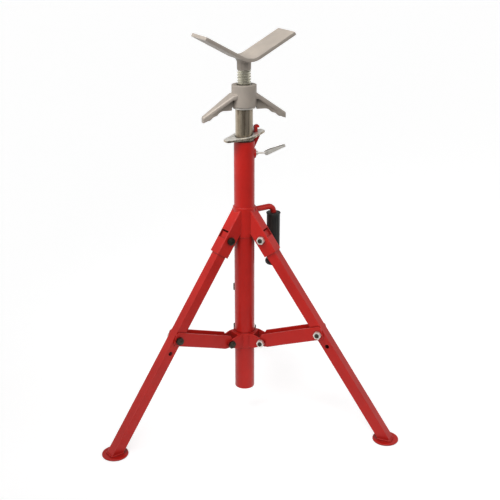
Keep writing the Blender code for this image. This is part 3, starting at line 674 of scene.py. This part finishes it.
def add_leg_bracket(number):
    name = f"leg_bracket_{number}"
    turn = leg_turn(number)
    into = plane(turn).to_3x3()
    side = into @ Vector((0, 1, 0))
    direction = leg_direction(number)
    outward = side.cross(direction)
    if outward.z < 0:
        outward = -outward
    web = span(name, outward)[1]
    half = span(name, side)[1]

    def is_fold(edge):
        middle = (edge.verts[0].co + edge.verts[1].co) / 2 - AXIS
        return (along(edge, direction) and abs(abs(side.dot(middle)) - half) < NEAR
                and outward.dot(middle) > web - SHEET_EDGE)

    refined(name, "red_paint", SHEET_EDGE, is_fold)
    sleeve_r = radius_of("hub_sleeve")
    x = math.sqrt(sleeve_r ** 2 - half ** 2)
    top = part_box(name)[1].z
    pivot = JOINTS[f"leg_{number}_fold"]["pos_m"]
    pivot_x, pivot_z = in_plane(turn, pivot)
    spread_angle = math.acos(-direction.z)
    depth = outward.dot(Vector(pivot) - AXIS) - span(name, outward)[0]
    run = (x - pivot_x + depth * math.cos(spread_angle)) / math.sin(spread_angle)
    low = pivot_z - run * math.cos(spread_angle) - depth * math.sin(spread_angle)
    low = max(low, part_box("hub_sleeve")[0].z)
    for mark, y in (("a", half), ("b", -half)):
        seam = upright(turn, y, sleeve_r, low, top - SEAM_WELD)
        weld(f"bracket_weld_{number}{mark}", "column", seam, SEAM_WELD)


# Legs, feet and braces.
def rounded_frame(into, centre, half_x, half_y, corner, steps=6):
    """A level rounded rectangle as a closed path."""
    points = []
    for quarter, (sx, sy) in enumerate(((1, 1), (-1, 1), (-1, -1), (1, -1))):
        for i in range(steps + 1):
            t = math.pi / 2 * (quarter + i / steps)
            points.append(into @ (centre + Vector((sx * (half_x - corner) + corner * math.cos(t),
                                                   sy * (half_y - corner) + corner * math.sin(t), 0))))
    points.append(points[0].copy())
    return points


def add_leg(number):
    name = f"leg_tube_{number}"
    body = f"leg_{number}"
    turn = leg_turn(number)
    direction = leg_direction(number)
    side = plane(turn).to_3x3() @ Vector((0, 1, 0))
    half = span(name, side)[1]

    def is_corner(edge):
        middle = (edge.verts[0].co + edge.verts[1].co) / 2
        return along(edge, direction) and abs(abs(side.dot(middle - AXIS)) - half) < NEAR

    refined(name, "red_paint", LEG_EDGE, is_corner, LEG_CORNER_R)
    foot = foot_top(number)
    low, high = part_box(f"foot_pad_{number}")
    foot_r = (high.x - low.x) / 2
    thick = high.z - low.z
    edge = [(foot_r - FOOT_EDGE_R + FOOT_EDGE_R * math.cos(t), thick / 2 + thick / 2 * math.sin(t))
            for t in arc(math.pi / 2, -math.pi / 2, ROUND_STEPS)]
    rows = [(0, thick - FOOT_DISH), (foot_r * FOOT_DISH_FLAT, thick - FOOT_DISH),
            (foot_r * FOOT_DISH_END, thick - FOOT_DISH / 3), *edge, (0, 0)]
    pad = moved(lathe(rows, FOOT_SIDES), Matrix.Translation((foot.x, foot.y, low.z)))
    piece(f"round_foot_{number}", pad, body, "red_paint", [f"foot_pad_{number}"])
    lean = half / -direction.z
    x, z = in_plane(turn, foot)
    path = rounded_frame(plane(turn), Vector((x, 0, z)), lean, half, LEG_CORNER_R)
    weld(f"foot_weld_{number}", body, path, FOOT_WELD)


def add_collar_ears(number):
    name = f"collar_ears_{number}"
    turn = leg_turn(number)
    side = plane(turn).to_3x3() @ Vector((0, 1, 0))
    half = span(name, side)[1]
    refined(name, "red_paint", SHEET_EDGE)
    collar_r = radius_of("collar_sleeve")
    low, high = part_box(name)
    for mark, y in (("a", half), ("b", -half)):
        seam = upright(turn, y, collar_r, low.z + SEAM_WELD, high.z - SEAM_WELD)
        weld(f"ear_weld_{number}{mark}", "collar", seam, SEAM_WELD)


def add_brace(number):
    name = f"brace_{number}"
    turn = leg_turn(number)
    side = plane(turn).to_3x3() @ Vector((0, 1, 0))
    half = span(name, side)[1]
    direction = (brace_far_end(number) - Vector(JOINTS[f"brace_{number}_swing"]["pos_m"])).normalized()
    under = side.cross(direction)
    if under.z > 0:
        under = -under
    web = span(name, under)[1]

    def is_fold(edge):
        middle = (edge.verts[0].co + edge.verts[1].co) / 2 - AXIS
        return (along(edge, direction) and abs(abs(side.dot(middle)) - half) < NEAR
                and under.dot(middle) > web - SHEET_EDGE)

    refined(name, "red_paint", SHEET_EDGE, is_fold)


# Bolts and nuts.
def hexagon(turn):
    return BOLT_FLATS / 2 / math.cos(turn % (math.pi / 3) - math.pi / 6)


def hex_rows(low, high, both=False):
    """Rows of a hexagon's side with its corners taken off at a slant, at the high end or at both."""
    flat = BOLT_FLATS / 2 * BOLT_FACE
    slope = math.tan(BOLT_CHAMFER)
    up = 1 if high > low else -1
    rows = [(flat, high), (hexagon, lambda t: high - up * (hexagon(t) - flat) * slope)]
    if both:
        return rows + [(hexagon, lambda t: low + up * (hexagon(t) - flat) * slope), (flat, low)]
    return rows + [(hexagon, low)]


def thread_skin(outer, depth, pitch, low, high, chamfer, sides):
    """A right-handed thread round Z from low to high, open at both ends, which run out to plain rings."""
    shape = bmesh.new()
    per_turn = len(THREAD_PROFILE)
    turns = math.ceil((high - low) / pitch) + 3
    rows = []
    for number in range(turns * per_turn):
        share, sunk = THREAD_PROFILE[number % per_turn]
        row = []
        for i in range(sides):
            height = low + pitch * (number // per_turn - 2 + share + i / sides)
            height = min(high, max(low, height))
            from_end = min(high - height, height - low)
            radius = outer - max(depth * sunk, chamfer - from_end)
            turn = 2 * math.pi * i / sides
            row.append(shape.verts.new((radius * math.cos(turn), radius * math.sin(turn), height)))
        rows.append(row)
    for number in range(len(rows) - 1):
        for i in range(sides - 1):
            this, above = rows[number], rows[number + 1]
            shape.faces.new((this[i], this[i + 1], above[i + 1], above[i]))
    for number in range(len(rows) - per_turn - 1):
        after = number + per_turn
        shape.faces.new((rows[number][-1], rows[after][0], rows[after + 1][0], rows[number + 1][-1]))
    bmesh.ops.remove_doubles(shape, verts=shape.verts, dist=NEEDLE)
    return shape


def threaded(rows, outer, depth, pitch, low, high, chamfer, sides):
    """A turned shape that starts on the axis with these rows and ends in a thread from high down to low."""
    shape = lathe([*rows, (outer - chamfer, high)], sides)
    add_to(shape, thread_skin(outer, depth, pitch, low, high, chamfer, sides))
    add_to(shape, lathe([(0, low), (outer - chamfer, low)], sides))
    bmesh.ops.remove_doubles(shape, verts=shape.verts, dist=NEEDLE)
    return shape


def bolt_place(number, point):
    """Puts +Z on the sideways axis of the leg's plane, at the point's own pin."""
    turn = leg_turn(number)
    x, z = in_plane(turn, point)
    return plane(turn) @ Matrix.Translation((x, 0, z)) @ Matrix.Rotation(math.radians(-90), 4, "X")


def bolt_thread(rows, past):
    """A bolt's rows, from the axis to its shank, with the thread that shows at its end."""
    high = past + BOLT_THREAD
    return threaded([*rows, (BOLT_R, high)], BOLT_R, BOLT_DEPTH, BOLT_PITCH, past, high, BOLT_DEPTH,
                    BOLT_SIDES)


def add_bolt(kind, number, point):
    """The hexagon bolt and its nut. The brace's far bolt is two ends, so that the leg can swing there."""
    bolt_name = f"{kind}_bolt_{number}"
    nut_name = f"{kind}_nut_{number}"
    side = plane(leg_turn(number)).to_3x3() @ Vector((0, 1, 0))
    into = bolt_place(number, point)
    nut_low, nut_high = span(nut_name, side)
    bolt_low, bolt_high = span(bolt_name, side)
    through = kind != "brace"
    seat = -nut_high if through else -brace_seat(number, side)
    nut_face = -(seat + NUT_HEIGHT)
    head = [(0, bolt_high), *hex_rows(seat, bolt_high), (BOLT_R, seat)]
    if through:
        bolt = bolt_thread(head, bolt_low)
    else:
        bolt = lathe([*head, (BOLT_R, bolt_low), (0, bolt_low)], BOLT_SIDES)
    piece(f"hex_bolt_{kind}_{number}", moved(bolt, into), body_of(bolt_name), "bolt_steel", [bolt_name])
    nut = lathe([(NUT_BORE_R, nut_face), *hex_rows(-seat, nut_face, True), (NUT_BORE_R, -seat)], BOLT_SIDES)
    if not through:
        add_to(nut, bolt_thread([(0, nut_high), (BOLT_R, nut_high)], nut_low), 1)
    piece(f"hex_nut_{kind}_{number}", moved(nut, into), body_of(nut_name), "bright_zinc", [nut_name],
          None if through else "bolt_steel")


def brace_seat(number, side):
    """The brace's own side face, where its far bolt's nut sits."""
    return span(f"brace_{number}", side)[0]


add_column()
for leg in LEGS:
    add_leg_bracket(leg)
    add_leg(leg)
    add_collar_ears(leg)
    add_brace(leg)
    add_bolt("pivot", leg, JOINTS[f"leg_{leg}_fold"]["pos_m"])
    add_bolt("collar", leg, JOINTS[f"brace_{leg}_swing"]["pos_m"])
    add_bolt("brace", leg, brace_far_end(leg))


# Mast: inner tube, washer, wing nut, screw and head.
def add_screw():
    low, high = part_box("lift_screw")
    outer = radius_of("lift_screw") - SCREW_PLAY
    bore_bottom = high.z - STEM_BORE_DEPTH
    rows = [(0, bore_bottom), (STEM_BORE_R, bore_bottom), (STEM_BORE_R, high.z)]
    shape = threaded(rows, outer, SCREW_DEPTH, SCREW_PITCH, low.z, high.z, SCREW_CHAMFER, SCREW_SIDES)
    moved(shape, Matrix.Translation(AXIS))
    piece("threaded_lift_screw", shape, "lift_screw", "yellow_zinc", ["lift_screw"])


def arm_section(bottom, x):
    """The arm's upper and lower height at a distance from the axis, with finger scallops under its grip."""
    root = bottom + ARM_ROOT_HEIGHT
    tip = root - ARM_DROP
    under = bottom - ARM_UNDER
    root_end = HUB_R + ARM_ROOT_OUT
    grip_start = root_end + ARM_KNUCKLE
    share = max(0, (x - HUB_R) / (ARM_REACH - HUB_R))
    high = root + (tip - root) * share
    if x < root_end:
        return high, bottom + ARM_LIFT
    grip = max(0, (x - grip_start) / (ARM_REACH - grip_start))
    lift = ARM_SCALLOP_DEPTH * abs(math.sin(math.pi * ARM_SCALLOPS * grip))
    return high, under + (tip - ARM_TIP - under) * grip + lift


def bar(places, section):
    """A closed bar along X. section gives its half width, its top and its bottom at a place."""
    shape = bmesh.new()
    rings = []
    for x in places:
        half, high, low = section(x)
        middle = (high + low) / 2
        loop = []
        for i in range(ARM_SIDES):
            turn = 2 * math.pi * i / ARM_SIDES
            across = math.copysign(abs(math.cos(turn)) ** (2 / ARM_SQUARE), math.cos(turn))
            rise = math.copysign(abs(math.sin(turn)) ** (2 / ARM_SQUARE), math.sin(turn))
            loop.append(shape.verts.new((x, half * across, middle + (high - low) / 2 * rise)))
        rings.append(loop)
    for first, second in zip(rings, rings[1:]):
        bridge(shape, first, second)
    shape.faces.new(rings[0][::-1])
    shape.faces.new(rings[-1])
    bmesh.ops.recalc_face_normals(shape, faces=shape.faces)
    return shape


def arm(bottom, bore):
    """A flange that narrows from the hub to a blunt tip, and the web under it that widens into the grip."""
    start = (bore + HUB_R) / 2
    root_end = HUB_R + ARM_ROOT_OUT
    places = [start, root_end - MERGE]
    places += [root_end + (ARM_REACH - root_end) * i / ARM_STATIONS for i in range(ARM_STATIONS + 1)]

    def full(x):
        high, low = arm_section(bottom, x)
        half = ARM_ROOT_HALF + (ARM_TIP_HALF - ARM_ROOT_HALF) * (x - start) / (ARM_REACH - start)
        blunt = min(1, (ARM_REACH - x) / ARM_TIP_ROUND + ARM_TIP_FLAT) ** 0.5
        trim = (high - low) / 2 * (1 - blunt)
        rise = (high - low) * ARM_TIP_RISE * max(0, 1 - (ARM_REACH - x) / ARM_TIP_CUT)
        return half * blunt, high - trim, low + max(trim, rise)

    def flange(x):
        half, high, low = full(x)
        return half, high, max(low, high - ARM_FLANGE)

    def web(x):
        half, high, low = full(x)
        share = min(1, max(0, (x - ARM_WEB_FROM) / (ARM_WEB_TO - ARM_WEB_FROM)))
        top = max(high - ARM_FLANGE / 2, (high + low) / 2)
        return min(half, ARM_WEB_HALF + (half - ARM_WEB_HALF) * share), top, low

    return add_to(bar(places, flange), bar(places, web))


def as_casting(name, shape):
    """Fuses overlapping closed shapes and softens their edges, as a casting's are."""
    mesh = bpy.data.meshes.new(name)
    shape.to_mesh(mesh)
    shape.free()
    rough = bpy.data.objects.new(name, mesh)
    bpy.context.scene.collection.objects.link(rough)
    fused = rough.modifiers.new("fuse", "REMESH")
    fused.mode = "VOXEL"
    fused.voxel_size = CAST_VOXEL
    soft = rough.modifiers.new("soften", "SMOOTH")
    soft.iterations = CAST_SMOOTHING
    fewer = rough.modifiers.new("fewer", "DECIMATE")
    fewer.ratio = CAST_KEEP
    evaluated = rough.evaluated_get(bpy.context.evaluated_depsgraph_get())
    made = bmesh.new()
    made.from_mesh(evaluated.to_mesh())
    evaluated.to_mesh_clear()
    bpy.data.objects.remove(rough)
    return made


def add_wing_nut():
    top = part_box("wing_nut")[1].z
    bottom = JOINTS["wing_nut_turn"]["pos_m"][2]
    bore = radius_of("lift_screw") + NUT_BORE_PLAY
    shape = lathe([(HUB_R, top), (HUB_R, bottom), (bore, bottom), (bore, top)], HUB_SIDES)
    bmesh.ops.recalc_face_normals(shape, faces=shape.faces)
    for side in (0, math.pi):
        add_to(shape, moved(arm(bottom, bore), Matrix.Rotation(side, 4, "Z")))
    moved(shape, plane(NUT_TURN))
    piece("cast_wing_nut", as_casting("wing_nut_blank", shape), "wing_nut", "cast_grey", ["wing_nut"])


def add_head():
    refined("v_head", "cast_grey", HEAD_EDGE)
    stem_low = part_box("head_neck")[0].z
    neck_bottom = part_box("lift_screw")[1].z + HEAD_GAP
    neck_r = radius_of("head_neck")
    bend_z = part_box("v_head")[0].z + HEAD_BEND_R

    def underside(x):
        limit = HEAD_BEND_R * math.sin(HEAD_SLOPE)
        reach = min(abs(x), limit)
        bent = bend_z - math.sqrt(HEAD_BEND_R ** 2 - reach ** 2)
        return bent + (abs(x) - reach) * math.tan(HEAD_SLOPE) - HEAD_GAP

    def against_plate(radius, down=0):
        return radius, lambda t: underside(radius * math.cos(t)) - down

    rows = [(0, underside(0)), against_plate(neck_r / 2), against_plate(neck_r)]
    for share in arc(0, 1, NECK_STEPS):
        radius = neck_r + NECK_FLARE * (1 - share) ** NECK_FLARE_POWER
        rows.append(against_plate(radius, NECK_FLARE_HEIGHT * share))
    foot_r = neck_r * NECK_TAPER
    rows += [(foot_r, neck_bottom + NECK_CHAMFER), (foot_r - NECK_CHAMFER, neck_bottom),
             (NECK_STEM_R, neck_bottom), (NECK_STEM_R, stem_low + NECK_CHAMFER),
             (NECK_STEM_R - NECK_CHAMFER, stem_low), (0, stem_low)]
    shape = moved(lathe(rows, NECK_SIDES), plane(HEAD_TURN))
    piece("flared_head_neck", shape, "v_head", "cast_grey", ["head_neck"])


def add_mast():
    refined("inner_tube", "zinc_steel", INNER_EDGE)
    refined("thrust_washer", "bright_zinc", WASHER_EDGE)
    add_screw()
    add_wing_nut()
    add_head()


# Jam plate, its hook, and the lock with its lever.
def with_shaded_faces(name, finish, second, edge, picks):
    """Stands for a CAD node with rounded edges, and a second, darker finish as painted shade on the faces
    that picks chooses.
    """
    shape = copied(name)
    for face in shape.faces:
        face.material_index = int(picks(face))
    round_edges(shape, outer_edges(shape), edge, EDGE_SEGMENTS)
    piece(f"fine_{name}", shape, body_of(name), finish, [name], second)


def add_jam_plate():
    """The plate, with painted shade on the cut edge round its outline: a darker finish on those faces."""
    bore = radius_of("inner_tube") + PLATE_BORE_PLAY

    def is_cut(face):
        out = face.calc_center_median() - AXIS
        out.z = 0
        return abs(face.normal.z) < UPRIGHT and out.length > bore

    # Painted shade: the cut edge faces get the darker zinc finish, as if in shadow.
    with_shaded_faces("jam_plate", "bright_zinc", "zinc_steel", PLATE_EDGE, is_cut)


def add_lever():
    """The lever, a channel with painted shade inside: a darker finish on its inner faces."""
    side = plane(turn_of(JOINTS["lock_lever_swing"]["pos_m"])).to_3x3() @ Vector((0, 1, 0))
    low, high = span("lock_lever", side)

    def is_inside(face):
        across = side.dot(face.calc_center_median() - AXIS)
        return face.normal.z > -UPRIGHT and low + LEVER_SHEET / 2 < across < high - LEVER_SHEET / 2

    # Painted shade: the faces inside the channel get the darker zinc finish.
    with_shaded_faces("lock_lever", "bright_zinc", "zinc_steel", LEVER_EDGE, is_inside)


def add_clamps():
    add_jam_plate()
    refined("plate_hook", "red_paint", HOOK_EDGE)
    refined("lock_boss", "red_paint", BOSS_EDGE)
    refined("lock_screw", "bright_zinc", LOCK_EDGE)
    add_lever()
    refined("lever_pin", "bright_zinc", LOCK_EDGE)
    column_r = radius_of("main_column")
    lock = JOINTS["lock_screw_turn"]["pos_m"]
    lock_turn = turn_of(JOINTS["lock_lever_swing"]["pos_m"])
    weld("boss_weld", "column", saddle(lock_turn, lock[2], LOCK_BOSS_R, column_r), BOSS_WELD)
    hook_turn = turn_of(JOINTS["jam_plate_tilt"]["pos_m"])
    side = plane(hook_turn).to_3x3() @ Vector((0, 1, 0))
    half = span("plate_hook", side)[1]
    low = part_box("plate_hook")[0].z
    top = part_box("main_column")[1].z
    for mark, y in (("a", half), ("b", -half)):
        seam = upright(hook_turn, y, column_r, low + HOOK_WELD_UP, top - HOOK_WELD_DOWN)
        weld(f"hook_weld_{mark}", "column", seam, SEAM_WELD)


# Carry handle.
def add_handle():
    low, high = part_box("handle_rod")
    level = high.z - HANDLE_ROD_R
    grip_low, grip_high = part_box("handle_grip")
    sleeve_r = radius_of("hub_sleeve")
    into = plane(HANDLE_TURN)
    centre = (HANDLE_REACH - HANDLE_BEND_R, level - HANDLE_BEND_R)
    bend = [(centre[0] + HANDLE_BEND_R * math.sin(t), centre[1] + HANDLE_BEND_R * math.cos(t))
            for t in arc(0, math.pi / 2, HANDLE_STEPS)]
    path = [(sleeve_r + HANDLE_GAP, level), *bend, (HANDLE_REACH, low.z)]
    points = [into @ Vector((x, 0, z)) for x, z in path]
    rod = sweep(points, [HANDLE_ROD_R] * len(points), HANDLE_SIDES)
    piece("bent_handle_rod", rod, "column", "red_paint", ["handle_rod"])
    weld("handle_weld", "column", saddle(HANDLE_TURN, level, HANDLE_ROD_R, sleeve_r), SEAM_WELD)
    add_grip(into, grip_low.z, grip_high.z)


def add_grip(into, low, high):
    """The moulded grip: a rim above, shallow flutes along it and a bulb below."""
    flute_top = high - GRIP_FLUTE_TOP
    flute_low = low + GRIP_FLUTE_LOW

    def fluted(height):
        ease = min(1, (flute_top - height) / GRIP_RIM, (height - flute_low) / GRIP_RIM)
        depth = GRIP_FLUTE_DEPTH * max(0, ease)
        return lambda t: GRIP_R - depth * (0.5 + 0.5 * math.cos(GRIP_FLUTES * t)) ** 2

    floor = low + GRIP_END_WALL
    rim = GRIP_RIM / 2
    rows = [(0, floor), (GRIP_BORE_R, floor), (GRIP_BORE_R, high - rim / 2), (GRIP_BORE_R + rim / 2, high)]
    rows += [(GRIP_RIM_R - rim + rim * math.sin(t), high - rim + rim * math.cos(t))
             for t in arc(0, math.pi, ROUND_STEPS)]
    rows += [(fluted(height), height) for height in arc(high - GRIP_NECK, low + GRIP_BULB, GRIP_ROWS)]
    half = GRIP_BULB / 2
    rows += [(GRIP_BULB_R - half + half * math.cos(t), low + half + half * math.sin(t))
             for t in arc(GRIP_BULB_FROM, -math.pi / 2, GRIP_BULB_STEPS)]
    rows.append((0, low))
    sides = GRIP_FLUTES * GRIP_FLUTE_SIDES
    shape = moved(lathe(rows, sides), into @ Matrix.Translation((HANDLE_REACH, 0, 0)))
    piece("moulded_grip", shape, "column", "black_rubber", ["handle_grip"])


add_mast()
add_clamps()
add_handle()


# Stage: floor, light and camera.
def background_share(tree):
    """1 for a ray that sees the background straight, in a reflection or through glass, and else 0."""
    path = node(tree, "ShaderNodeLightPath")
    seen = path.outputs["Is Camera Ray"]
    for other in ("Is Glossy Ray", "Is Transmission Ray"):
        either = node(tree, "ShaderNodeMath", {0: seen, 1: path.outputs[other]}, operation="MAXIMUM")
        seen = either.outputs[0]
    return seen


def dark_share(tree, direction):
    """1 towards the photographer's side of the room, and 0 from its sides to its back."""
    side = CAMERA_YAW - ROOM_DARK_TURN
    front = (-math.sin(side), -math.cos(side), 0)
    turn = node(tree, "ShaderNodeVectorMath", {0: direction, 1: front}, operation="DOT_PRODUCT")
    return spread(tree, turn.outputs["Value"], ROOM_DARK_FROM, ROOM_DARK_FULL)


def add_floor():
    """A white floor that takes the shadow and can be looked through from below."""
    shape = bmesh.new()
    half = FLOOR_SIZE / 2
    shape.faces.new([shape.verts.new((x, y, -FLOOR_DROP)) for x, y in
                     ((-half, -half), (half, -half), (half, half), (-half, half))])
    mesh = bpy.data.meshes.new("floor")
    shape.to_mesh(mesh)
    shape.free()
    floor = bpy.data.objects.new("floor", mesh)
    bpy.context.scene.collection.objects.link(floor)
    made = bpy.data.materials.new("floor_white")
    made.use_nodes = True
    tree = made.node_tree
    tree.nodes.clear()
    shown_at = node(tree, "ShaderNodeNewGeometry")
    from_axis = {0: shown_at.outputs["Position"], 1: AXIS}
    place = node(tree, "ShaderNodeVectorMath", from_axis, operation="SUBTRACT").outputs["Vector"]
    away = node(tree, "ShaderNodeVectorMath", {0: place}, operation="LENGTH").outputs["Value"]
    outward = node(tree, "ShaderNodeVectorMath", {0: place}, operation="NORMALIZE").outputs["Vector"]
    dark = product(tree, dark_share(tree, outward), spread(tree, away, FLOOR_NEAR, FLOOR_FAR))
    dark = product(tree, dark, node(tree, "ShaderNodeLightPath").outputs["Is Glossy Ray"])
    level = spread(tree, dark, 0, 1, 1, ROOM_DARK)
    tone = node(tree, "ShaderNodeCombineColor", dict.fromkeys(range(3), product(tree, level, FLOOR_TONE)))
    matte = node(tree, "ShaderNodeBsdfDiffuse", {"Color": tone.outputs[0]})
    shown = product(tree, product(tree, background_share(tree), FLOOR_GLOW), level)
    glow = node(tree, "ShaderNodeEmission", {"Strength": shown})
    both = node(tree, "ShaderNodeAddShader", {0: matte.outputs[0], 1: glow.outputs[0]})
    clear = node(tree, "ShaderNodeBsdfTransparent")
    from_below = shown_at.outputs["Backfacing"]
    surface = node(tree, "ShaderNodeMixShader", {0: from_below, 1: both.outputs[0], 2: clear.outputs[0]})
    node(tree, "ShaderNodeOutputMaterial", {"Surface": surface.outputs[0]})
    mesh.materials.append(made)


def add_world():
    world = bpy.data.worlds.new("studio")
    world.use_nodes = True
    tree = world.node_tree
    tree.nodes.clear()
    direction = node(tree, "ShaderNodeTexCoord").outputs["Generated"]
    rise = node(tree, "ShaderNodeSeparateXYZ", {0: direction}).outputs["Z"]
    room = product(tree, spread(tree, dark_share(tree, direction), 0, 1, ROOM_PALE, ROOM_DARK),
                   spread(tree, rise, ROOM_TOP_FROM, ROOM_TOP_FULL, 1, ROOM_TOP))
    path = node(tree, "ShaderNodeLightPath")
    seen = node(tree, "ShaderNodeMath", {0: room, 1: path.outputs["Is Camera Ray"]}, operation="MAXIMUM")
    soft = product(tree, room, AMBIENT)
    strength = node(tree, "ShaderNodeMix", {0: background_share(tree), 2: soft, 3: seen.outputs[0]})
    light = node(tree, "ShaderNodeBackground", {"Color": (1, 1, 1, 1), "Strength": strength.outputs[0]})
    node(tree, "ShaderNodeOutputWorld", {"Surface": light.outputs[0]})
    bpy.context.scene.world = world


def heading(turn, fall):
    """A direction over the floor, turned from +Y to +X and falling by an angle."""
    return Vector((math.sin(turn) * math.cos(fall), math.cos(turn) * math.cos(fall), -math.sin(fall)))


def add_lamp(name, kind, turn, rise, power):
    """A lamp that shines from a side of the camera's own direction and from above, at the mast."""
    lamp = bpy.data.lights.new(name, kind)
    lamp.energy = power
    made = bpy.data.objects.new(name, lamp)
    bpy.context.scene.collection.objects.link(made)
    towards = heading(CAMERA_YAW - turn, rise)
    made.rotation_mode = "QUATERNION"
    made.rotation_quaternion = towards.to_track_quat("-Z", "Y")
    made.location = AXIS + Vector((0, 0, LAMP_AIM)) - towards * LAMP_DISTANCE
    return lamp


def add_camera():
    lens = bpy.data.cameras.new("camera")
    lens.lens = CAMERA_LENS
    lens.sensor_width = CAMERA_SENSOR
    made = bpy.data.objects.new("camera", lens)
    bpy.context.scene.collection.objects.link(made)
    made.location = AXIS + CAMERA_FROM_AXIS
    made.rotation_mode = "QUATERNION"
    made.rotation_quaternion = heading(CAMERA_YAW, CAMERA_PITCH).to_track_quat("-Z", "Y")
    bpy.context.scene.camera = made


add_floor()
add_world()
add_lamp("front_light", "SUN", FRONT_TURN, FRONT_RISE, FRONT_POWER).angle = FRONT_ANGLE
add_lamp("right_light", "SUN", RIGHT_TURN, RIGHT_RISE, RIGHT_POWER).angle = RIGHT_ANGLE
left_light = add_lamp("left_light", "AREA", LEFT_TURN, LEFT_RISE, LEFT_POWER)
left_light.size = LEFT_SIZE
left_light.spread = LEFT_SPREAD
add_camera()
bpy.context.scene.view_settings.view_transform = "Standard"
